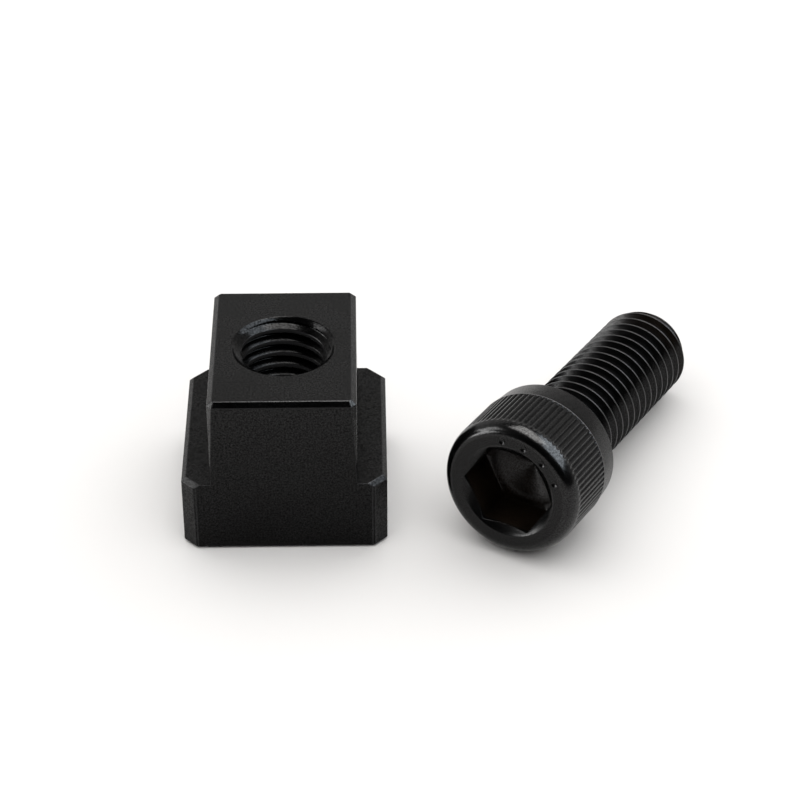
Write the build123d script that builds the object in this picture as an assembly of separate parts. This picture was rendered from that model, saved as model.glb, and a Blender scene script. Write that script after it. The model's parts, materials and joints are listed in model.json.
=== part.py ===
from build123d import *
import math
import os

# A T-slot nut and the knurled socket head cap screw that threads into it: the pair that clamps a
# quick change tool post to a lathe's compound slide. The nut stands on its base. The screw lies
# beside it, resting on its head's rear rim and on the crest of its thread at the tip.
#
# Millimetres. Origin: the tapped hole's axis at the nut's base plane. +Z runs up the tapped hole,
# X crosses the slot that the nut slides in, and Y runs along that slot.

# ---------------------------------------------------------------- T-slot nut: driving dimensions
BASE_WIDTH = 25.2            # across the slot's undercut, along X
NUT_LENGTH = 24.4            # along the slot, along Y
BASE_HEIGHT = 9.9            # floor of the slot to the shoulders
NECK_WIDTH = 17.9            # runs in an 18 mm slot
NUT_HEIGHT = 22.0
BASE_CORNER = 1.6            # 45 degree cut down each upright corner of the base
NECK_CORNER = 0.6            # the same down each corner of the neck
NECK_TOP_CHAMFER = 0.6
SHOULDER_CHAMFER = 0.55      # on the shoulders' outer edges, round the cut corners too
BASE_BOTTOM_CHAMFER = 0.35

# ---------------------------------------------------------------- M12 x 1.75 thread
THREAD_DIAMETER = 12.0
TAPPED_BORE = 10.2           # tapping drill, which is the tapped hole's inner wall
MOUTH_DIAMETER = 12.8        # countersink on top of the nut
BOTTOM_MOUTH_DEPTH = 0.4     # small 45 degree countersink underneath

# ---------------------------------------------------------------- cap screw: driving dimensions
HEAD_DIAMETER = 18.0
HEAD_HEIGHT = 12.0
SHANK_LENGTH = 30.0
TIP_CHAMFER_LENGTH = 1.9     # along the shank
TIP_CHAMFER_DROP = 1.1       # towards its axis
SEAT_BAND = 3.2              # smooth, slightly tapered band between the knurl and the bearing face
SEAT_DIAMETER = 17.24        # outer diameter of the bearing face
NOSE_LENGTH = 2.1            # rounding from the knurl to the flat ring on the front
NOSE_DROP = 1.45             # how far that rounding comes in
KNURL_GROOVES = 78
KNURL_DEPTH = 0.18
SOCKET_ACROSS_FLATS = 10.15  # takes a 10 mm key
SOCKET_DEPTH = 6.0
SOCKET_MOUTH_DIAMETER = 12.4
SOCKET_MOUTH_DEPTH = 0.7     # countersink round the hexagon
SOCKET_MOUTH_NARROWING = 1.2  # how far it comes in over that depth
SOCKET_POINT_DEPTH = 1.6     # drill cone below the hexagon

# ---------------------------------------------------------------- where the screw lies
SEAT_X = 33.0                # centre of the bearing face
SEAT_Y = -3.5
SCREW_HEADING = 29.9         # degrees from +Y towards +X, from the head to the tip

HEAD_RADIUS = HEAD_DIAMETER / 2
THREAD_RADIUS = THREAD_DIAMETER / 2


def chamfered_block(width, length, height, corner):
    """An upright block on z = 0 with its four vertical corners cut at 45 degrees."""
    block = Box(width, length, height, align=(Align.CENTER, Align.CENTER, Align.MIN))
    return chamfer(block.edges().filter_by(Axis.Z), corner)


def nut_base():
    base = chamfered_block(BASE_WIDTH, NUT_LENGTH, BASE_HEIGHT, BASE_CORNER)
    base = chamfer(base.faces().sort_by(Axis.Z)[0].edges(), BASE_BOTTOM_CHAMFER)
    top_edges = base.faces().sort_by(Axis.Z)[-1].edges()
    side_and_corner_edges = [edge for edge in top_edges if abs((edge @ 1 - edge @ 0).Y) > 0.01]
    return chamfer(side_and_corner_edges, SHOULDER_CHAMFER)


def nut_neck():
    neck = chamfered_block(NECK_WIDTH, NUT_LENGTH, NUT_HEIGHT, NECK_CORNER)
    return chamfer(neck.faces().sort_by(Axis.Z)[-1].edges(), NECK_TOP_CHAMFER)


def tapped_hole_cutter():
    """Bore with a 45 degree mouth at each end, as one revolved outline."""
    bore = TAPPED_BORE / 2
    mouth = MOUTH_DIAMETER / 2
    outline = Polyline(
        (0, 0),
        (bore + BOTTOM_MOUTH_DEPTH, 0),
        (bore, BOTTOM_MOUTH_DEPTH),
        (bore, NUT_HEIGHT - (mouth - bore)),
        (mouth, NUT_HEIGHT),
        (0, NUT_HEIGHT),
        close=True,
    )
    return revolve(Plane.XZ * make_face(outline), Axis.Z)


def t_slot_nut():
    neck_on_base = nut_neck() - Pos(0, 0, -1) * Box(
        BASE_WIDTH, NUT_LENGTH + 2, 2, align=(Align.CENTER, Align.CENTER, Align.MIN)
    )
    return nut_base() + neck_on_base - tapped_hole_cutter()


def head_blank():
    """The head before knurling, with its bearing face on z = 0 and its front at -HEAD_HEIGHT."""
    knurl_start = -SEAT_BAND
    nose_start = -HEAD_HEIGHT + NOSE_LENGTH
    flat_radius = HEAD_RADIUS - NOSE_DROP
    seat = Polyline(
        (0, -HEAD_HEIGHT),
        (0, 0),
        (SEAT_DIAMETER / 2, 0),
        (HEAD_RADIUS, knurl_start),
        (HEAD_RADIUS, nose_start),
    )
    nose = EllipticalCenterArc(
        (flat_radius, nose_start), NOSE_DROP, NOSE_LENGTH, start_angle=270, arc_size=90
    )
    front = Line((flat_radius, -HEAD_HEIGHT), (0, -HEAD_HEIGHT))
    outline = Wire([*seat.edges(), *nose.edges(), *front.edges()])
    return revolve(Plane.XZ * make_face(outline), Axis.Z)


def knurl_envelope():
    """Star-shaped bar whose straight V grooves leave the knurl when the head is kept inside it."""
    points = []
    for index in range(2 * KNURL_GROOVES):
        radius = HEAD_RADIUS if index % 2 == 0 else HEAD_RADIUS - KNURL_DEPTH
        angle = math.pi * index / KNURL_GROOVES
        points.append((radius * math.cos(angle), radius * math.sin(angle)))
    star = make_face(Polyline(*points, close=True))
    knurled = Pos(0, 0, -HEAD_HEIGHT) * extrude(star, HEAD_HEIGHT - SEAT_BAND)
    return knurled + Pos(0, 0, -SEAT_BAND) * Cylinder(
        HEAD_RADIUS, SEAT_BAND, align=(Align.CENTER, Align.CENTER, Align.MIN)
    )


def hex_socket_cutter():
    """Hexagon with a countersunk mouth and a drill cone at its floor."""
    hexagon = RegularPolygon(SOCKET_ACROSS_FLATS / 2, 6, major_radius=False)
    prism = Pos(0, 0, -HEAD_HEIGHT) * extrude(hexagon, SOCKET_DEPTH)
    on_base = (Align.CENTER, Align.CENTER, Align.MIN)
    mouth_radius = SOCKET_MOUTH_DIAMETER / 2
    mouth = Cone(mouth_radius, mouth_radius - SOCKET_MOUTH_NARROWING, SOCKET_MOUTH_DEPTH, align=on_base)
    mouth = Pos(0, 0, -HEAD_HEIGHT) * mouth
    drill_radius = SOCKET_ACROSS_FLATS / 2 - 0.05
    point = Pos(0, 0, -HEAD_HEIGHT + SOCKET_DEPTH) * Cone(drill_radius, 0, SOCKET_POINT_DEPTH, align=on_base)
    return prism + mouth + point


def shank():
    """Shank drawn at the thread's outer diameter, with a tapered tip."""
    outline = Polyline(
        (0, 0),
        (THREAD_RADIUS, 0),
        (THREAD_RADIUS, SHANK_LENGTH - TIP_CHAMFER_LENGTH),
        (THREAD_RADIUS - TIP_CHAMFER_DROP, SHANK_LENGTH),
        (0, SHANK_LENGTH),
        close=True,
    )
    return revolve(Plane.XZ * make_face(outline), Axis.Z)


def resting_tilt():
    """Degrees that the tip drops when the knurl's rear rim and the thread's last crest both touch."""
    span = SHANK_LENGTH - TIP_CHAMFER_LENGTH + SEAT_BAND
    return math.degrees(math.atan2(HEAD_RADIUS - THREAD_RADIUS, span))


def screw_place():
    """Location that carries the upright screw, head down, to where it lies on the floor."""
    tilt = resting_tilt()
    seat_height = HEAD_RADIUS * math.cos(math.radians(tilt)) - SEAT_BAND * math.sin(math.radians(tilt))
    laid_down = Rot(0, 0, -SCREW_HEADING) * Rot(-90 - tilt, 0, 0)
    return Pos(SEAT_X, SEAT_Y, seat_height) * laid_down


def socket_head_cap_screw():
    head = head_blank() & knurl_envelope()
    return screw_place() * (head + shank() - hex_socket_cutter())


os.makedirs("parts", exist_ok=True)
export_step(t_slot_nut(), "parts/t_slot_nut.step")
export_step(socket_head_cap_screw(), "parts/socket_head_cap_screw.step")

print("the screw's tip drops", round(resting_tilt(), 3), "degrees")
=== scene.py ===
"""Looks of a T-slot nut and the knurled socket head cap screw that threads into it.

Both are black oxide steel. Lengths are in metres. Each piece is one closed mesh that replaces its
CAD node: the nut is built upright in the shared frame, and the screw is built along its own axis
and then placed on the axis of its joint.
"""
import json
import math
import random

import bmesh
import bpy
from mathutils import Matrix, Vector


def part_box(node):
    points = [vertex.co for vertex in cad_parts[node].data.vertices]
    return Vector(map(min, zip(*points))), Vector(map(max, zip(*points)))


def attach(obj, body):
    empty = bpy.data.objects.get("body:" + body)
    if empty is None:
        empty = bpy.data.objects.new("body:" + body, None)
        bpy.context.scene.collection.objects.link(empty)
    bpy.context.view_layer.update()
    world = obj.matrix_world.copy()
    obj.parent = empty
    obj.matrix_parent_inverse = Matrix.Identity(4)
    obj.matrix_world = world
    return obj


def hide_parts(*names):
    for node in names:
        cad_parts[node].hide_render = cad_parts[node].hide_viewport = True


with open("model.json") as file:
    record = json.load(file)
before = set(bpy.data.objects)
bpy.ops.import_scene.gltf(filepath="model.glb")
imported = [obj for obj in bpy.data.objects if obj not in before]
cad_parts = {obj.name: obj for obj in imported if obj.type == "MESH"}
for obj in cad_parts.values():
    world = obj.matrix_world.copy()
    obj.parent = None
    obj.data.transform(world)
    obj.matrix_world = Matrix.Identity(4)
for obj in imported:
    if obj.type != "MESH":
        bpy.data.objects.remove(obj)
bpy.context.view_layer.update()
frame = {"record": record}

MM = 0.001
RECORD = frame["record"]
MOUNTS = {mount["name"]: mount for mount in RECORD["mounts"]}
TURN = next(joint for joint in RECORD["behaviour"]["joints"] if joint["name"] == "screw_turn")

# ---------------------------------------------------------------- sizes read from the frame
NUT_LOW, NUT_HIGH = (Vector(corner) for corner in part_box("t_slot_nut"))
BASE_WIDTH = NUT_HIGH.x - NUT_LOW.x
NUT_LENGTH = NUT_HIGH.y - NUT_LOW.y
NUT_HEIGHT = NUT_HIGH.z
NECK_WIDTH = 2 * MOUNTS["neck_right"]["pos_m"][0]
BASE_HEIGHT = MOUNTS["shoulder_right"]["pos_m"][2]
THREAD_RADIUS = MOUNTS["screw_thread"]["dims"]["r_mm"] * MM
SEAT_CENTRE = Vector(TURN["pos_m"])
SCREW_AXIS = Vector(TURN["axis"]).normalized()
HEAD_HEIGHT = (SEAT_CENTRE - Vector(MOUNTS["hex_socket"]["pos_m"])).length

# ---------------------------------------------------------------- nut details
BASE_CORNER = 1.6 * MM
NECK_CORNER = 0.6 * MM
NECK_TOP_CHAMFER = 0.6 * MM
SHOULDER_CHAMFER = 0.55 * MM
BASE_BOTTOM_CHAMFER = 0.35 * MM
EDGE_BREAK = 0.07 * MM           # tiny rounding that every machined edge keeps
ROUNDED_STRIP = 0.2 * MM         # faces narrower than this belong to a rounded edge
FLAT_NORMAL = 0.9995             # a face this square to an axis counts as flat
PLACE_TOLERANCE = 0.02 * MM      # for finding edges and faces by their place
RUBBED_EDGE = "rubbed_edge"      # face value of 1 where the coating has rubbed thin
DULL_CORNER = "dull_corner"      # face value of 1 on the cuts down the neck's corners
CORNER_ROUNDING = 0.3 * MM       # eased edge between each cut corner and the nut's two ends
MOUTH_RADIUS = 6.4 * MM
MOUTH_DEPTH = 0.42 * MM          # 45 degree part of the mouth, down to the thread's outer diameter
MOUTH_LEDGE_SLOPE = 1.8          # below it, how fast the mouth closes over the thread's end
BOTTOM_MOUTH_DEPTH = 0.4 * MM
MOUTH_LIP = 0.07 * MM
HOLE_COLUMNS = 192

# ---------------------------------------------------------------- M12 x 1.75 thread
PITCH = 1.75 * MM
HOLE_CREST_RADIUS = 5.2 * MM
HOLE_ROOT_RADIUS = 6.02 * MM
HOLE_THREAD_LEAD = 0.89 * MM     # how far up the hole the thread starts its turn
SHANK_ROOT_RADIUS = 4.93 * MM
SHANK_THREAD_LEAD = 0.0 * MM

# ---------------------------------------------------------------- screw details
HEAD_RADIUS = 9.0 * MM
SHANK_LENGTH = 30.0 * MM
TIP_CHAMFER_LENGTH = 1.9 * MM
TIP_CHAMFER_DROP = 1.1 * MM
SEAT_RADIUS = 8.69 * MM
SEAT_BAND = 3.2 * MM
RIM_WIDTH = 0.16 * MM            # thin plain rim that closes the knurl
NOSE_LENGTH = 2.1 * MM
NOSE_DROP = 1.45 * MM
KNURL_START = -SEAT_BAND - RIM_WIDTH     # along the screw's axis, on the band's side
KNURL_END = -HEAD_HEIGHT + NOSE_LENGTH   # along the screw's axis, where the nose begins
KNURL_RUN_OUT = 0.6 * MM         # length over which the grooves fade towards the nose
KNURL_GROOVES = 78
KNURL_DEPTH = 0.17 * MM
KNURL_RUN_IN = ((0.0, 0.0), (0.06, 0.5), (0.14, 0.9), (0.25, 1.0))     # (mm from start, depth share)
GROOVE_SHAPE = (0.0, 0.05, 0.35, 0.8, 1.0, 0.8, 0.35, 0.05)     # depth across one groove
HEAD_COLUMNS = KNURL_GROOVES * len(GROOVE_SHAPE)
SHANK_COLUMNS = HEAD_COLUMNS // 4
SOCKET_FLAT_RADIUS = 5.15 * MM
SOCKET_CORNER_RADIUS = 5.9 * MM
SOCKET_MOUTH_RADIUS = 6.2 * MM
SOCKET_DEPTH = 6.0 * MM
SOCKET_POINT_DEPTH = 1.6 * MM
SOCKET_MOUTH_ANGLE = 30          # degrees, slope of the countersink at the socket's mouth
SOCKET_DRILL_MARGIN = 0.2 * MM   # how far inside the flats the drill cone starts
TIP_CENTRE_RADIUS = 2.0 * MM     # ring of points on the flat tip

# ---------------------------------------------------------------- dimples on the head's flat front
PIP_ANGLES = (100, 76, 52, 28)   # degrees, a plain row of round dimples
PIP_CIRCLE = 6.9 * MM
PIP_RADIUS = 0.45 * MM
PIP_DEPTH = 0.2 * MM

# ---------------------------------------------------------------- camera
CAMERA_LENS_MM = 115.7
CAMERA_SENSOR_MM = 36.0
CAMERA_DISTANCE = 326.5 * MM
CAMERA_AZIMUTH = math.radians(-0.94)
CAMERA_ELEVATION = math.radians(36.09)
CAMERA_TARGET = Vector((14.4, 4.9, 10.0)) * MM


# ================================================================ mesh helpers
class Builder:
    """Collects vertices and faces, then makes one object of them."""

    def __init__(self):
        self.points = []
        self.faces = []

    def point(self, x, y, z):
        self.points.append((x, y, z))
        return len(self.points) - 1

    def face(self, corners):
        """Adds a face, leaving out corners that repeat their neighbour."""
        kept = [c for i, c in enumerate(corners) if c != corners[i - 1]]
        if len(set(kept)) >= 3:
            self.faces.append(kept)

    def ring(self, radii, heights):
        """Points round the Z axis, one for each radius and height."""
        step = 2 * math.pi / len(radii)
        return [
            self.point(radius * math.cos(i * step), radius * math.sin(i * step), height)
            for i, (radius, height) in enumerate(zip(radii, heights))
        ]

    def join(self, lower, upper):
        """Quads between two rings of equal count."""
        count = len(lower)
        for i in range(count):
            after = (i + 1) % count
            self.face([lower[i], lower[after], upper[after], upper[i]])

    def mesh(self, name):
        mesh = bpy.data.meshes.new(name)
        mesh.from_pydata(self.points, [], self.faces)
        return mesh


def level_ring(builder, columns, radius, height):
    return builder.ring([radius] * columns, [height] * columns)


def thread_outline(crest_radius, root_radius, crest_flat, root_flat, rounding, lead):
    """One pitch of a 60 degree thread as (height, radius) points, crest first, corners eased.

    An extra point beside each eased corner keeps the flanks' shading flat.
    """
    guard = rounding + 0.04 * MM
    one_pitch = Vector((PITCH, 0))
    flank = (PITCH - crest_flat - root_flat) / 2
    corners = [
        (lead - crest_flat / 2, crest_radius),
        (lead + crest_flat / 2, crest_radius),
        (lead + crest_flat / 2 + flank, root_radius),
        (lead + crest_flat / 2 + flank + root_flat, root_radius),
    ]
    outline = []
    for i, corner in enumerate(corners):
        here = Vector(corner)
        before = Vector(corners[i - 1])
        if i == 0:
            before -= one_pitch
        after = Vector(corners[(i + 1) % 4])
        if i == 3:
            after += one_pitch
        toward_before = here + (before - here).normalized() * rounding
        toward_after = here + (after - here).normalized() * rounding
        middle = (toward_before + toward_after + 2 * here) / 4
        rounded = [toward_before, middle, toward_after]
        ends_a_flank = i in (0, 2)
        if ends_a_flank:
            rounded.insert(0, here + (before - here).normalized() * guard)
        else:
            rounded.append(here + (after - here).normalized() * guard)
        outline += [tuple(point) for point in rounded]
    return outline


def split_long_spans(outline):
    """Adds points to the outline, so that a chamfer across the thread keeps a clean edge."""
    longest = 0.13 * MM
    following = outline[1:] + [(outline[0][0] + PITCH, outline[0][1])]
    split = []
    for (height, radius), (next_height, next_radius) in zip(outline, following):
        pieces = max(1, math.ceil((next_height - height) / longest))
        for i in range(pieces):
            share = i / pieces
            split.append((
                height + (next_height - height) * share,
                radius + (next_radius - radius) * share,
            ))
    return split


def radius_on_outline(outline, height):
    """Radius of the repeating thread outline at any height."""
    start = outline[0][0]
    place = (height - start) % PITCH + start
    following = outline[1:] + [(start + PITCH, outline[0][1])]
    for (low, low_radius), (high, high_radius) in zip(outline, following):
        if low <= place <= high:
            share = (place - low) / (high - low) if high > low else 0
            return low_radius + (high_radius - low_radius) * share
    return outline[0][1]


def helical_wall(builder, outline, bottom, top, columns, limit):
    """Right-hand thread from bottom to top, as rows that follow the helix.

    limit(radius, height) trims the thread where a chamfer crosses it. Returns the two end rings.
    """
    def end_ring(height):
        radii = []
        for i in range(columns):
            lead = PITCH * i / columns
            radii.append(limit(radius_on_outline(outline, height - lead), height))
        return builder.ring(radii, [height] * columns)

    bottom_ring = end_ring(bottom)
    top_ring = end_ring(top)
    per_turn = len(outline)
    first_turn = math.floor(bottom / PITCH) - 2
    turns = math.ceil(top / PITCH) + 2 - first_turn
    rows = [
        (height + PITCH * (first_turn + turn), radius)
        for turn in range(turns)
        for height, radius in outline
    ]
    smallest_gap = 0.01 * MM
    grid = []
    for i in range(columns):
        angle = 2 * math.pi * i / columns
        column = []
        for row_height, row_radius in rows:
            height = row_height + PITCH * i / columns
            if height <= bottom + smallest_gap:
                column.append(bottom_ring[i])
            elif height >= top - smallest_gap:
                column.append(top_ring[i])
            else:
                radius = limit(row_radius, height)
                x, y = radius * math.cos(angle), radius * math.sin(angle)
                column.append(builder.point(x, y, height))
        grid.append(column)
    for i, column in enumerate(grid):
        # after a full turn the last column meets the first one a pitch higher up
        shift = per_turn if i == columns - 1 else 0
        following = grid[(i + 1) % columns][shift:]
        for row in range(len(rows) - 1 - shift):
            builder.face([column[row], following[row], following[row + 1], column[row + 1]])
    return bottom_ring, top_ring


def close_with_fan(builder, ring, centre):
    """Triangles from a ring to one point in its middle."""
    for i in range(len(ring)):
        builder.face([ring[i - 1], ring[i], centre])


def take_mesh(bm, mesh):
    """Adds a scratch mesh to the bmesh, then removes it from the file."""
    bm.from_mesh(mesh)
    bpy.data.meshes.remove(mesh)


def fill_between(bm, edges):
    """Flat triangles over the area that the edges enclose."""
    bmesh.ops.triangle_fill(bm, edges=edges, use_beauty=True, use_dissolve=False)


def ring_edges(bm, ring):
    """Edges of a closed ring of vertex numbers, made where they don't exist yet."""
    bm.verts.ensure_lookup_table()
    edges = []
    for i, number in enumerate(ring):
        pair = (bm.verts[ring[i - 1]], bm.verts[number])
        edges.append(bm.edges.get(pair) or bm.edges.new(pair))
    return edges


def all_smooth(face):
    return True


def finish_piece(name, bm, material, sharp_angle, is_smooth=all_smooth):
    """Object from a bmesh, with sharp edges where faces turn by more than sharp_angle degrees."""
    bmesh.ops.recalc_face_normals(bm, faces=bm.faces)
    smooth = [is_smooth(face) for face in bm.faces]
    mesh = bpy.data.meshes.new(name)
    bm.to_mesh(mesh)
    bm.free()
    mesh.set_sharp_from_angle(angle=math.radians(sharp_angle))
    mesh.polygons.foreach_set("use_smooth", smooth)
    mesh.materials.append(material)
    piece = bpy.data.objects.new(name, mesh)
    bpy.context.scene.collection.objects.link(piece)
    return piece


# ================================================================ T-slot nut
def tee_prism(bm):
    """The nut's T section, drawn in X and Z and drawn out along Y."""
    neck, base, half_length = NECK_WIDTH / 2, BASE_WIDTH / 2, NUT_LENGTH / 2
    section = [
        (-base, 0), (base, 0), (base, BASE_HEIGHT), (neck, BASE_HEIGHT),
        (neck, NUT_HEIGHT), (-neck, NUT_HEIGHT), (-neck, BASE_HEIGHT), (-base, BASE_HEIGHT),
    ]
    front = [bm.verts.new((x, -half_length, z)) for x, z in section]
    back = [bm.verts.new((x, half_length, z)) for x, z in section]
    bm.faces.new(front)
    bm.faces.new(back[::-1])
    for i in range(len(section)):
        bm.faces.new((front[i - 1], front[i], back[i], back[i - 1]))
    bmesh.ops.recalc_face_normals(bm, faces=bm.faces)


def bevel_where(bm, chosen, width, segments=1):
    """Bevels the edges that chosen(edge, middle, direction) picks."""
    edges = []
    for edge in bm.edges:
        middle = (edge.verts[0].co + edge.verts[1].co) / 2
        direction = (edge.verts[1].co - edge.verts[0].co).normalized()
        if chosen(edge, middle, direction):
            edges.append(edge)
    bmesh.ops.bevel(
        bm, geom=edges, offset=width, offset_type="OFFSET", segments=segments,
        profile=0.5, affect="EDGES", clamp_overlap=False,
    )


def near(value, target):
    return abs(value - target) < PLACE_TOLERANCE


def nut_block(bm):
    """The nut without its hole: cut corners first, then chamfers, then the tiny edge breaks."""
    tee_prism(bm)
    base, neck = BASE_WIDTH / 2, NECK_WIDTH / 2
    bevel_where(bm, lambda e, m, d: abs(d.z) > 0.9 and near(abs(m.x), base), BASE_CORNER)
    bevel_where(bm, lambda e, m, d: abs(d.z) > 0.9 and near(abs(m.x), neck), NECK_CORNER)
    bevel_where(bm, lambda e, m, d: near(m.z, NUT_HEIGHT), NECK_TOP_CHAMFER)
    bevel_where(
        bm, lambda e, m, d: near(m.z, BASE_HEIGHT) and abs(m.x) > neck + MM and abs(d.y) > 0.3,
        SHOULDER_CHAMFER,
    )
    bevel_where(bm, lambda e, m, d: near(m.z, 0), BASE_BOTTOM_CHAMFER)
    ends = NUT_LENGTH / 2
    bevel_where(
        bm, lambda e, m, d: abs(d.z) > 0.9 and near(abs(m.y), ends) and abs(m.x) > neck + 0.5 * MM,
        CORNER_ROUNDING, segments=3,
    )
    bevel_where(
        bm, lambda e, m, d: e.is_convex and e.calc_face_angle(0) > math.radians(20),
        EDGE_BREAK, segments=2,
    )


def tapped_wall(builder):
    """Thread inside the nut with its two mouths. Returns the lowest and the highest ring."""
    outline = thread_outline(
        HOLE_CREST_RADIUS, HOLE_ROOT_RADIUS,
        crest_flat=0.5 * MM, root_flat=0.24 * MM, rounding=0.1 * MM, lead=HOLE_THREAD_LEAD,
    )
    outline = split_long_spans(outline)
    low, high = MOUTH_LIP, NUT_HEIGHT - MOUTH_LIP

    def mouths(radius, height):
        depth = NUT_HEIGHT - height
        top_mouth = MOUTH_RADIUS - depth
        if depth > MOUTH_DEPTH:
            top_mouth -= (MOUTH_LEDGE_SLOPE - 1) * (depth - MOUTH_DEPTH)
        bottom_cone = HOLE_CREST_RADIUS + BOTTOM_MOUTH_DEPTH - height
        return max(radius, top_mouth, bottom_cone)

    low_ring, high_ring = helical_wall(builder, outline, low, high, HOLE_COLUMNS, mouths)
    rim = level_ring(builder, HOLE_COLUMNS, MOUTH_RADIUS + 0.6 * MOUTH_LIP, NUT_HEIGHT)
    builder.join(high_ring, rim)
    bottom_radius = HOLE_ROOT_RADIUS + 0.3 * MM
    bottom_rim = level_ring(builder, HOLE_COLUMNS, bottom_radius, 0)
    builder.join(bottom_rim, low_ring)
    return bottom_rim, rim


def in_tapped_hole(face):
    centre = face.calc_center_median()
    return math.hypot(centre.x, centre.y) < MOUTH_RADIUS


def on_edge_strip(face):
    """True on the narrow slanted strips along rounded edges."""
    if max(abs(component) for component in face.normal) > FLAT_NORMAL or in_tapped_hole(face):
        return False
    longest = max(edge.calc_length() for edge in face.edges)
    return face.calc_area() / longest < ROUNDED_STRIP


def rounded_on_nut(face):
    flat = max(abs(component) for component in face.normal) > FLAT_NORMAL
    return not flat and (in_tapped_hole(face) or on_edge_strip(face))


def on_neck_corner(face):
    """True on the upright 45 degree cuts down the neck's four corners."""
    slanted = abs(face.normal.x) > 0.6 and abs(face.normal.y) > 0.6
    return slanted and abs(face.calc_center_median().x) < NECK_WIDTH / 2


def mark_faces(bm, name, chosen):
    """Stores 1 on each face that chosen(face) picks, for the nut's material to read."""
    layer = bm.faces.layers.float.new(name)
    for face in bm.faces:
        face[layer] = 1.0 if chosen(face) else 0.0


def make_nut(material):
    """Joins the block to the tapped wall by refilling the block's top and bottom round the hole."""
    builder = Builder()
    bottom_rim, top_rim = tapped_wall(builder)
    bm = bmesh.new()
    take_mesh(bm, builder.mesh("tapped_wall"))
    holes = {0.0: ring_edges(bm, bottom_rim), NUT_HEIGHT: ring_edges(bm, top_rim)}

    block = bmesh.new()
    nut_block(block)
    block_mesh = bpy.data.meshes.new("block")
    block.to_mesh(block_mesh)
    block.free()
    take_mesh(bm, block_mesh)
    for height, hole in holes.items():
        face = max(
            (f for f in bm.faces if near(f.calc_center_median().z, height) and abs(f.normal.z) > 0.99),
            key=lambda f: f.calc_area(),
        )
        outside = list(face.edges)
        bmesh.ops.delete(bm, geom=[face], context="FACES_ONLY")
        fill_between(bm, outside + hole)
    bmesh.ops.recalc_face_normals(bm, faces=bm.faces)
    mark_faces(bm, RUBBED_EDGE, on_edge_strip)
    mark_faces(bm, DULL_CORNER, on_neck_corner)
    nut = finish_piece("t_slot_nut_steel", bm, material, sharp_angle=50, is_smooth=rounded_on_nut)
    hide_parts("t_slot_nut")
    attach(nut, "nut")


# ================================================================ cap screw
def screw_matrix():
    """Carries the screw, built along +Z with its bearing face on z = 0, to where it lies."""
    side = SCREW_AXIS.cross(Vector((0, 0, 1))).normalized()
    across = SCREW_AXIS.cross(side)
    turned = Matrix((side, across, SCREW_AXIS)).transposed().to_4x4()
    return Matrix.Translation(SEAT_CENTRE) @ turned


def groove_depths():
    """Each column's knurl depth, a little uneven from one groove to the next."""
    chance = random.Random(12)
    depths = []
    for _ in range(KNURL_GROOVES):
        groove = KNURL_DEPTH * chance.uniform(0.85, 1.1)
        depths += [groove * share for share in GROOVE_SHAPE]
    return depths


def nose_radius(height):
    """Outline of the head from its flat front to the knurl: a quarter ellipse."""
    from_knurl = KNURL_END - height
    if from_knurl <= 0:
        return HEAD_RADIUS
    share = min(from_knurl / NOSE_LENGTH, 1.0)
    return HEAD_RADIUS - NOSE_DROP * (1 - math.sqrt(1 - share * share))


def knurled_ring(builder, height, depths, ramp):
    """A ring of the head's side, with the grooves cut to the share ramp of their depth."""
    envelope = nose_radius(height)
    radii = [min(envelope, HEAD_RADIUS - depth * ramp) for depth in depths]
    return builder.ring(radii, [height] * HEAD_COLUMNS)


def head_side(builder):
    """Rings from the bearing face to the flat front, over the band, the knurl and the nose."""
    def band(radius, height):
        return level_ring(builder, HEAD_COLUMNS, radius, height)

    rings = [
        band(THREAD_RADIUS + 0.6 * MM, 0),
        band(SEAT_RADIUS - 0.12 * MM, 0),
        band(SEAT_RADIUS - 0.03 * MM, -0.03 * MM),
        band(SEAT_RADIUS, -0.12 * MM),
        band(HEAD_RADIUS - 0.07 * MM, -SEAT_BAND + 0.04 * MM),
        band(HEAD_RADIUS - 0.06 * MM, -SEAT_BAND),
        band(HEAD_RADIUS - 0.02 * MM, -SEAT_BAND - 0.03 * MM),
        band(HEAD_RADIUS, -SEAT_BAND - 0.06 * MM),
    ]
    depths = groove_depths()
    for from_start, ramp in KNURL_RUN_IN:
        rings.append(knurled_ring(builder, KNURL_START - from_start * MM, depths, ramp))
    knurl_rows = 6
    full_depth = KNURL_START - KNURL_RUN_IN[-1][0] * MM
    for i in range(1, knurl_rows + 1):
        height = full_depth + (KNURL_END - full_depth) * i / knurl_rows
        rings.append(knurled_ring(builder, height, depths, 1.0))
    nose_rows = 18
    for i in range(1, nose_rows + 1):
        into_nose = NOSE_LENGTH * math.sin(math.pi / 2 * i / nose_rows)
        ramp = max(0.0, 1.0 - (into_nose / KNURL_RUN_OUT) ** 2)
        rings.append(knurled_ring(builder, KNURL_END - into_nose, depths, ramp))
    return rings


def pip_depth(x, y):
    """Depth of the dimples in the flat front at a place on it."""
    depth = 0
    for angle in PIP_ANGLES:
        turn = math.radians(-angle)
        distance = math.hypot(x - PIP_CIRCLE * math.cos(turn), y - PIP_CIRCLE * math.sin(turn))
        if distance < PIP_RADIUS:
            depth = PIP_DEPTH * math.cos(distance / PIP_RADIUS * math.pi / 2) ** 0.7
    return depth


def front_rings(builder):
    """The flat front from the nose in to the socket's mouth, with its dimples."""
    rings = []
    outer, inner, rows = HEAD_RADIUS - NOSE_DROP, SOCKET_MOUTH_RADIUS, 18
    for i in range(1, rows + 1):
        radius = outer + (inner + 0.05 * MM - outer) * i / rows
        heights = []
        for column in range(HEAD_COLUMNS):
            angle = 2 * math.pi * column / HEAD_COLUMNS
            depth = pip_depth(radius * math.cos(angle), radius * math.sin(angle))
            heights.append(-HEAD_HEIGHT + depth)
        rings.append(builder.ring([radius] * HEAD_COLUMNS, heights))
    return rings


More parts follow.
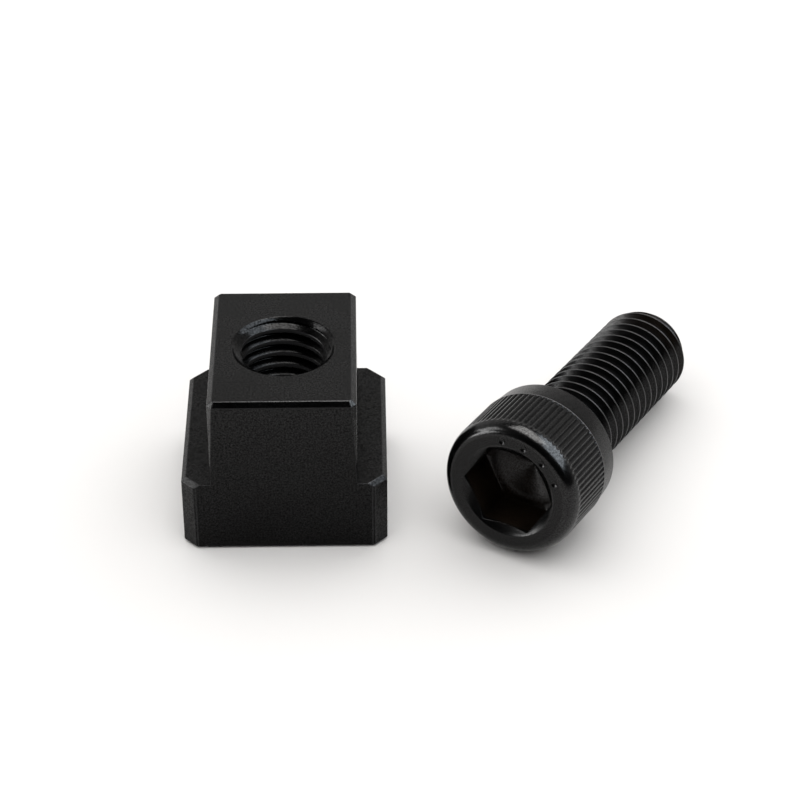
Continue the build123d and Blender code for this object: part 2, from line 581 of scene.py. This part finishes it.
def hexagon_radii():
    """The hexagon's radius at each column, with its corners a little rounded."""
    radii = []
    for column in range(HEAD_COLUMNS):
        angle = 360 * column / HEAD_COLUMNS
        from_flat = math.radians(abs((angle % 60) - 30))
        radii.append(min(SOCKET_FLAT_RADIUS / math.cos(from_flat), SOCKET_CORNER_RADIUS))
    return radii


def socket_rings(builder):
    """The socket: countersunk mouth, hexagon, floor and drill cone."""
    mouth_slope = math.tan(math.radians(SOCKET_MOUTH_ANGLE))
    hexagon = hexagon_radii()
    top = [-HEAD_HEIGHT + (SOCKET_MOUTH_RADIUS - radius) * mouth_slope for radius in hexagon]
    rings = [level_ring(builder, HEAD_COLUMNS, SOCKET_MOUTH_RADIUS - 0.02 * MM, -HEAD_HEIGHT + 0.03 * MM)]
    rings.append(builder.ring([radius + 0.03 * MM for radius in hexagon], top))
    rings.append(builder.ring(hexagon, [height + 0.05 * MM for height in top]))
    floor = -HEAD_HEIGHT + SOCKET_DEPTH
    wall_rows = 4
    for i in range(1, wall_rows + 1):
        heights = [height + (floor - 0.1 * MM - height) * i / wall_rows for height in top]
        rings.append(builder.ring(hexagon, heights))
    rings.append(builder.ring([radius - 0.1 * MM for radius in hexagon], [floor] * HEAD_COLUMNS))
    drill = SOCKET_FLAT_RADIUS - SOCKET_DRILL_MARGIN
    for share in (1.0, 0.75, 0.5, 0.25, 0.05):
        height = floor + SOCKET_POINT_DEPTH * (1 - share)
        rings.append(level_ring(builder, HEAD_COLUMNS, drill * share, height))
    return rings


def shank_wall(builder):
    """Threaded shank from the bearing face to the chamfered tip. Returns its two end rings."""
    outline = thread_outline(
        THREAD_RADIUS, SHANK_ROOT_RADIUS,
        crest_flat=0.18 * MM, root_flat=0.34 * MM, rounding=0.05 * MM, lead=SHANK_THREAD_LEAD,
    )

    def chamfered(radius, height):
        cone = THREAD_RADIUS - TIP_CHAMFER_DROP * (1 - (SHANK_LENGTH - height) / TIP_CHAMFER_LENGTH)
        return min(radius, cone)

    return helical_wall(builder, outline, 0, SHANK_LENGTH, SHANK_COLUMNS, chamfered)


def make_screw(material):
    """Head and shank as one closed mesh, joined across the bearing face."""
    builder = Builder()
    rings = head_side(builder) + front_rings(builder) + socket_rings(builder)
    for lower, upper in zip(rings, rings[1:]):
        builder.join(lower, upper)
    centre = builder.point(0, 0, -HEAD_HEIGHT + SOCKET_DEPTH + SOCKET_POINT_DEPTH)
    close_with_fan(builder, rings[-1], centre)
    shank_start, shank_end = shank_wall(builder)
    tip_inner = level_ring(builder, SHANK_COLUMNS, TIP_CENTRE_RADIUS, SHANK_LENGTH)
    builder.join(shank_end, tip_inner)
    tip_centre = builder.point(0, 0, SHANK_LENGTH)
    close_with_fan(builder, tip_inner, tip_centre)

    bm = bmesh.new()
    take_mesh(bm, builder.mesh("screw"))
    fill_between(bm, ring_edges(bm, rings[0]) + ring_edges(bm, shank_start))
    screw = finish_piece("socket_head_cap_screw_steel", bm, material, sharp_angle=50)
    screw.matrix_world = screw_matrix()
    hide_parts("socket_head_cap_screw")
    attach(screw, "screw")


# ================================================================ materials
OXIDE_DARK = (0.0003, 0.0003, 0.0003)
OXIDE_LIGHT = (0.0012, 0.0012, 0.0013)
OXIDE_THIN = (0.007, 0.007, 0.0072)
OXIDE_BROWN = (0.012, 0.008, 0.005)
SOCKET_BROWN = (0.006, 0.004, 0.0026)
RUBBED_STEEL = (0.08, 0.08, 0.083)

# how far the coating has rubbed through to steel, from 0 to 1
NUT_EDGE_WEAR = 0.15
HOLE_CREST_WEAR = 0.25
SHANK_CREST_WEAR = 0.32
KNURL_RIM_WEAR = 0.7

# how strongly the surface reflects, as a share of the coating's full strength
# painted shade: the nut reflects less the lower it is, from TOP_SHEEN at its top to BASE_SHEEN at its
# base
BASE_SHEEN = 0.45
TOP_SHEEN = 0.9
# painted shade: HOLE_SHEEN makes the inside of the nut's hole reflect less
HOLE_SHEEN = 0.6
NECK_CORNER_SHEEN = 0.2

# the same for the screw, as what each place adds to 1
NOSE_SHEEN_CHANGE = 0.45
BAND_SHEEN_CHANGE = -0.7
TIP_SHEEN_CHANGE = -0.75
# painted shade: GROOVE_SHEEN_CHANGE makes the bottoms of the knurl's grooves reflect less
GROOVE_SHEEN_CHANGE = -0.6


class Nodes:
    """Short calls for building a material's node tree."""

    def __init__(self, name):
        self.material = bpy.data.materials.new(name)
        self.material.use_nodes = True
        self.tree = self.material.node_tree
        self.tree.nodes.clear()
        self.shader = self.add("ShaderNodeBsdfPrincipled")
        output = self.add("ShaderNodeOutputMaterial")
        self.link(self.shader.outputs["BSDF"], output.inputs["Surface"])
        self.place = self.add("ShaderNodeTexCoord").outputs["Object"]

    def add(self, kind, **settings):
        node = self.tree.nodes.new(kind)
        for key, value in settings.items():
            setattr(node, key, value)
        return node

    def link(self, source, target):
        self.tree.links.new(source, target)

    def noise(self, scale, detail=3.0, roughness=0.55):
        node = self.add("ShaderNodeTexNoise")
        node.inputs["Scale"].default_value = scale
        node.inputs["Detail"].default_value = detail
        node.inputs["Roughness"].default_value = roughness
        self.link(self.place, node.inputs["Vector"])
        return node.outputs["Fac"]

    def remap(self, value, low, high, new_low=0.0, new_high=1.0):
        """Carries low to new_low and high to new_high, and holds those ends beyond them."""
        node = self.add("ShaderNodeMapRange")
        limits = {"From Min": low, "From Max": high, "To Min": new_low, "To Max": new_high}
        for slot, number in limits.items():
            node.inputs[slot].default_value = number
        self.link(value, node.inputs["Value"])
        return node.outputs["Result"]

    def face_mark(self, name):
        """The value that mark_faces stored on each face."""
        return self.add("ShaderNodeAttribute", attribute_name=name).outputs["Fac"]

    def radius(self):
        """Distance from the piece's own Z axis."""
        flat = self.add("ShaderNodeVectorMath", operation="MULTIPLY")
        flat.inputs[1].default_value = (1.0, 1.0, 0.0)
        self.link(self.place, flat.inputs[0])
        length = self.add("ShaderNodeVectorMath", operation="LENGTH")
        self.link(flat.outputs["Vector"], length.inputs[0])
        return length.outputs["Value"]

    def height(self):
        """Height along the piece's own Z axis."""
        split = self.add("ShaderNodeSeparateXYZ")
        self.link(self.place, split.inputs["Vector"])
        return split.outputs["Z"]

    def math(self, operation, first, second):
        node = self.add("ShaderNodeMath", operation=operation)
        for slot, value in zip(node.inputs, (first, second)):
            if isinstance(value, (int, float)):
                slot.default_value = value
            else:
                self.link(value, slot)
        return node.outputs["Value"]

    def blend(self, factor, first, second):
        node = self.add("ShaderNodeMix", data_type="RGBA")
        for name, value in (("A", first), ("B", second)):
            socket = next(s for s in node.inputs if s.name == name and s.type == "RGBA")
            if isinstance(value, tuple):
                socket.default_value = (*value, 1.0)
            else:
                self.link(value, socket)
        factor_socket = next(s for s in node.inputs if s.name == "Factor" and s.type == "VALUE")
        self.link(factor, factor_socket)
        return next(s for s in node.outputs if s.type == "RGBA")

    def bump(self, layers):
        """Stacks bumps: (height, distance in metres) pairs, coarse first."""
        normal = None
        for height, distance in layers:
            node = self.add("ShaderNodeBump")
            node.inputs["Distance"].default_value = distance
            node.inputs["Strength"].default_value = 1.0
            self.link(height, node.inputs["Height"])
            if normal:
                self.link(normal, node.inputs["Normal"])
            normal = node.outputs["Normal"]
        self.link(normal, self.shader.inputs["Normal"])


def hole_crests(nodes):
    """1 on the crests of the thread inside the nut."""
    return nodes.remap(nodes.radius(), HOLE_CREST_RADIUS + 0.07 * MM, HOLE_CREST_RADIUS)


def shank_crests(nodes):
    """1 on the crests of the screw's thread."""
    crest = nodes.remap(nodes.radius(), THREAD_RADIUS - 0.09 * MM, THREAD_RADIUS - 0.02 * MM)
    past_the_head = nodes.remap(nodes.height(), 0.1 * MM, 0.3 * MM)
    return nodes.math("MULTIPLY", crest, past_the_head)


def knurl_rim(nodes):
    """1 on the thin rim where the knurl meets the smooth band."""
    from_rim = nodes.math("ABSOLUTE", nodes.math("ADD", nodes.height(), SEAT_BAND + RIM_WIDTH / 2), 0.0)
    near_rim = nodes.remap(from_rim, 0.11 * MM, 0.06 * MM)
    outside = nodes.remap(nodes.radius(), HEAD_RADIUS - 0.12 * MM, HEAD_RADIUS - 0.05 * MM)
    return nodes.math("MULTIPLY", near_rim, outside)


def nose_band(nodes):
    """1 on the head's rounded nose, which is turned smoother than the rest."""
    along = nodes.remap(nodes.height(), KNURL_END + 0.1 * MM, KNURL_END)
    inner = HEAD_RADIUS - NOSE_DROP
    outside = nodes.remap(nodes.radius(), inner - 0.1 * MM, inner)
    return nodes.math("MULTIPLY", along, outside)


def knurl_grooves(nodes):
    """1 at the bottom of the knurl's grooves, for the painted shade there."""
    deep = nodes.remap(nodes.radius(), HEAD_RADIUS - 0.03 * MM, HEAD_RADIUS - 0.1 * MM)
    on_outside = nodes.remap(nodes.radius(), HEAD_RADIUS - 1.1 * MM, HEAD_RADIUS - MM)
    past_nose = nodes.remap(nodes.height(), KNURL_END - 0.1 * MM, KNURL_END + 0.1 * MM)
    before_rim = nodes.remap(nodes.height(), KNURL_START, KNURL_START - 0.05 * MM)
    along = nodes.math("MULTIPLY", past_nose, before_rim)
    return nodes.math("MULTIPLY", nodes.math("MULTIPLY", deep, on_outside), along)


def smooth_band(nodes):
    """1 on the plain band between the knurl and the bearing face."""
    along = nodes.remap(nodes.height(), -SEAT_BAND - 0.05 * MM, -SEAT_BAND)
    outside = nodes.remap(nodes.radius(), THREAD_RADIUS + 0.5 * MM, THREAD_RADIUS + MM)
    return nodes.math("MULTIPLY", along, outside)


def inside_socket(nodes):
    """1 on the walls and floor of the hexagon socket."""
    below = nodes.remap(nodes.height(), -HEAD_HEIGHT + 0.5 * MM, -HEAD_HEIGHT + MM)
    edge = SOCKET_MOUTH_RADIUS - 0.1 * MM
    inside = nodes.remap(nodes.radius(), edge, SOCKET_MOUTH_RADIUS - 0.2 * MM)
    above_seat = nodes.remap(nodes.height(), -0.5 * MM, -MM)
    return nodes.math("MULTIPLY", nodes.math("MULTIPLY", below, inside), above_seat)


def black_oxide(nodes, rubbed, tint, roughness, grain_scale, grain_depth, sheen, polish):
    """Blackened steel: near black and fine grained, rubbed grey where the rubbed mask says.

    sheen multiplies how strongly the surface reflects, and polish is 1 where it is smoother.
    """
    cloud = nodes.noise(140.0, detail=4.0)
    grain = nodes.noise(grain_scale, detail=2.0, roughness=0.7)
    mottled = nodes.blend(nodes.remap(cloud, 0.35, 0.65), OXIDE_DARK, tint)
    specked = nodes.blend(nodes.remap(grain, 0.55, 0.8, 0.0, 0.35), mottled, OXIDE_THIN)
    nodes.link(nodes.blend(rubbed, specked, RUBBED_STEEL), nodes.shader.inputs["Base Color"])
    uneven = nodes.remap(cloud, 0.3, 0.7, roughness - 0.04, roughness + 0.05)
    smoother = nodes.remap(polish, 0.0, 1.0, 1.0, 0.6)
    nodes.link(nodes.math("MULTIPLY", uneven, smoother), nodes.shader.inputs["Roughness"])
    glint = nodes.remap(grain, 0.35, 0.65, 0.06, 0.32)
    nodes.link(nodes.math("MULTIPLY", glint, sheen), nodes.shader.inputs["Specular IOR Level"])
    nodes.bump([(cloud, 0.00002), (grain, grain_depth)])
    return nodes.material


def inside_hole(nodes):
    """1 inside the nut's hole, out to its mouth."""
    return nodes.remap(nodes.radius(), MOUTH_RADIUS + 0.1 * MM, MOUTH_RADIUS + 0.05 * MM)


def top_chamfers(nodes):
    """1 on the chamfers round the top of the nut's neck."""
    start = NUT_HEIGHT - NECK_TOP_CHAMFER
    above = nodes.remap(nodes.height(), start - 0.05 * MM, start)
    below = nodes.remap(nodes.height(), NUT_HEIGHT - 0.02 * MM, NUT_HEIGHT - 0.04 * MM)
    return nodes.math("MULTIPLY", above, below)


def nut_steel():
    """Painted shade: the nut reflects less towards its base and inside its hole. It also reflects less on
    the neck's corner cuts.
    """
    nodes = Nodes("nut_black_oxide")
    crests = nodes.math("MULTIPLY", hole_crests(nodes), HOLE_CREST_WEAR)
    edges = nodes.math("MULTIPLY", nodes.face_mark(RUBBED_EDGE), NUT_EDGE_WEAR)
    rubbed = nodes.math("MAXIMUM", edges, crests)
    hole = inside_hole(nodes)
    # painted shade: the nut reflects less the lower it is
    shade_by_height = nodes.remap(nodes.height(), 0.0, NUT_HEIGHT, BASE_SHEEN, TOP_SHEEN)
    # painted shade: the inside of the hole reflects less
    hole_shade = nodes.remap(hole, 0.0, 1.0, 1.0, HOLE_SHEEN)
    on_corners = nodes.remap(nodes.face_mark(DULL_CORNER), 0.0, 1.0, 1.0, NECK_CORNER_SHEEN)
    sheen = nodes.math("MULTIPLY", nodes.math("MULTIPLY", shade_by_height, hole_shade), on_corners)
    polish = nodes.math("MAXIMUM", hole, top_chamfers(nodes))
    return black_oxide(
        nodes, rubbed, OXIDE_LIGHT, roughness=0.26, grain_scale=4500.0, grain_depth=0.000009,
        sheen=sheen, polish=polish,
    )


def screw_steel():
    """The coating is brownish at the tip and in the socket, and shiniest on the head's nose."""
    nodes = Nodes("screw_black_oxide")
    crests = nodes.math("MULTIPLY", shank_crests(nodes), SHANK_CREST_WEAR)
    rubbed = nodes.math("MAXIMUM", crests, nodes.math("MULTIPLY", knurl_rim(nodes), KNURL_RIM_WEAR))
    toward_tip = nodes.remap(nodes.height(), SHANK_LENGTH - 6 * MM, SHANK_LENGTH)
    tint = nodes.blend(toward_tip, OXIDE_LIGHT, OXIDE_BROWN)
    tint = nodes.blend(inside_socket(nodes), tint, SOCKET_BROWN)
    nose = nose_band(nodes)
    brighter_nose = nodes.math("MULTIPLY", nose, NOSE_SHEEN_CHANGE)
    duller_band = nodes.math("MULTIPLY", smooth_band(nodes), BAND_SHEEN_CHANGE)
    duller_tip = nodes.remap(
        nodes.height(), SHANK_LENGTH - 1.5 * MM, SHANK_LENGTH - MM, 0.0, TIP_SHEEN_CHANGE
    )
    # painted shade in the knurl's grooves: their bottoms reflect less
    groove_shade = nodes.math("MULTIPLY", knurl_grooves(nodes), GROOVE_SHEEN_CHANGE)
    sheen = nodes.math("ADD", groove_shade, 1.0)
    for change in (brighter_nose, duller_band, duller_tip):
        sheen = nodes.math("ADD", sheen, change)
    return black_oxide(
        nodes, rubbed, tint, roughness=0.22, grain_scale=7000.0, grain_depth=0.000004,
        sheen=sheen, polish=nodes.math("MULTIPLY", nose, 0.5),
    )


def white_paper():
    """The floor's faintly uneven, warm white."""
    nodes = Nodes("white_paper")
    shade = nodes.blend(nodes.noise(8.0), (0.61, 0.608, 0.606), (0.63, 0.628, 0.626))
    nodes.link(shade, nodes.shader.inputs["Base Color"])
    nodes.shader.inputs["Roughness"].default_value = 0.7
    nodes.shader.inputs["Specular IOR Level"].default_value = 0.2
    return nodes.material


# ================================================================ stage, light and camera
WALL_BRIGHTNESS = 0.75
WARM_WHITE = (1.0, 0.985, 0.97)
COOL_WHITE = (0.84, 0.92, 1.0)
PLAIN_WHITE = (1.0, 1.0, 1.0)


def make_floor():
    half = 1.5
    bm = bmesh.new()
    bmesh.ops.create_grid(bm, x_segments=1, y_segments=1, size=half)
    floor = finish_piece("floor", bm, white_paper(), sharp_angle=50)


def soft_light(name, direction, distance, size, power, colour=PLAIN_WHITE, reflected=True):
    """A soft box that faces the object.

    A reflected one is seen only in reflections. Any other lights the scene and isn't reflected.
    """
    data = bpy.data.lights.new(name, "AREA")
    data.shape = "RECTANGLE"
    data.size, data.size_y = size
    data.energy = power
    data.color = colour
    light = bpy.data.objects.new(name, data)
    toward = Vector(direction).normalized()
    light.location = CAMERA_TARGET + toward * distance
    light.rotation_euler = toward.to_track_quat("Z", "Y").to_euler()
    light.visible_diffuse = not reflected
    light.visible_glossy = reflected
    bpy.context.scene.collection.objects.link(light)


def make_lights():
    soft_light("sky", (0.0, 0.0, 1.0), 0.8, (2.0, 2.0), 28.5, colour=WARM_WHITE, reflected=False)
    soft_light("overhead", (0.06, 0.04, 1.0), 0.9, (0.78, 0.6), 12.6, colour=WARM_WHITE)
    soft_light("window", (0.65, -0.17, 0.76), 0.7, (0.8, 0.52), 9.8, colour=COOL_WHITE)
    soft_light("left_panel", (-1.0, -0.05, 0.2), 1.0, (0.8, 0.42), 11.0)
    soft_light("left_high", (-0.82, 0.05, 0.56), 0.9, (0.35, 0.35), 2.2)


def make_room():
    """Surroundings: a pale wall behind and at the sides, dark towards the camera and overhead."""
    world = bpy.data.worlds.new("room")
    world.use_nodes = True
    tree = world.node_tree
    background = tree.nodes["Background"]
    direction = tree.nodes.new("ShaderNodeTexCoord")
    split = tree.nodes.new("ShaderNodeSeparateXYZ")
    tree.links.new(direction.outputs["Generated"], split.inputs["Vector"])

    def fade(value, start, end):
        node = tree.nodes.new("ShaderNodeMapRange")
        node.interpolation_type = "SMOOTHSTEP"
        node.inputs["From Min"].default_value = start
        node.inputs["From Max"].default_value = end
        tree.links.new(value, node.inputs["Value"])
        return node.outputs["Result"]

    def times(first, second):
        node = tree.nodes.new("ShaderNodeMath")
        node.operation = "MULTIPLY"
        for slot, value in zip(node.inputs, (first, second)):
            if isinstance(value, float):
                slot.default_value = value
            else:
                tree.links.new(value, slot)
        return node.outputs["Value"]

    behind = fade(split.outputs["Y"], -0.45, 0.3)
    below_lamp = fade(split.outputs["Z"], 0.9, 0.6)
    tree.links.new(times(times(behind, below_lamp), WALL_BRIGHTNESS), background.inputs["Strength"])
    background.inputs["Color"].default_value = (*WARM_WHITE, 1.0)
    bpy.context.scene.world = world


def make_camera():
    data = bpy.data.cameras.new("camera")
    data.lens = CAMERA_LENS_MM
    data.sensor_width = CAMERA_SENSOR_MM
    data.clip_start = 0.01
    camera = bpy.data.objects.new("camera", data)
    back = Vector((
        math.sin(CAMERA_AZIMUTH) * math.cos(CAMERA_ELEVATION),
        -math.cos(CAMERA_AZIMUTH) * math.cos(CAMERA_ELEVATION),
        math.sin(CAMERA_ELEVATION),
    ))
    camera.location = CAMERA_TARGET + back * CAMERA_DISTANCE
    camera.rotation_euler = back.to_track_quat("Z", "Y").to_euler()
    bpy.context.scene.collection.objects.link(camera)
    bpy.context.scene.camera = camera


make_camera()
make_floor()
make_lights()
make_room()
bpy.context.scene.view_settings.view_transform = "Standard"

make_nut(nut_steel())
make_screw(screw_steel())
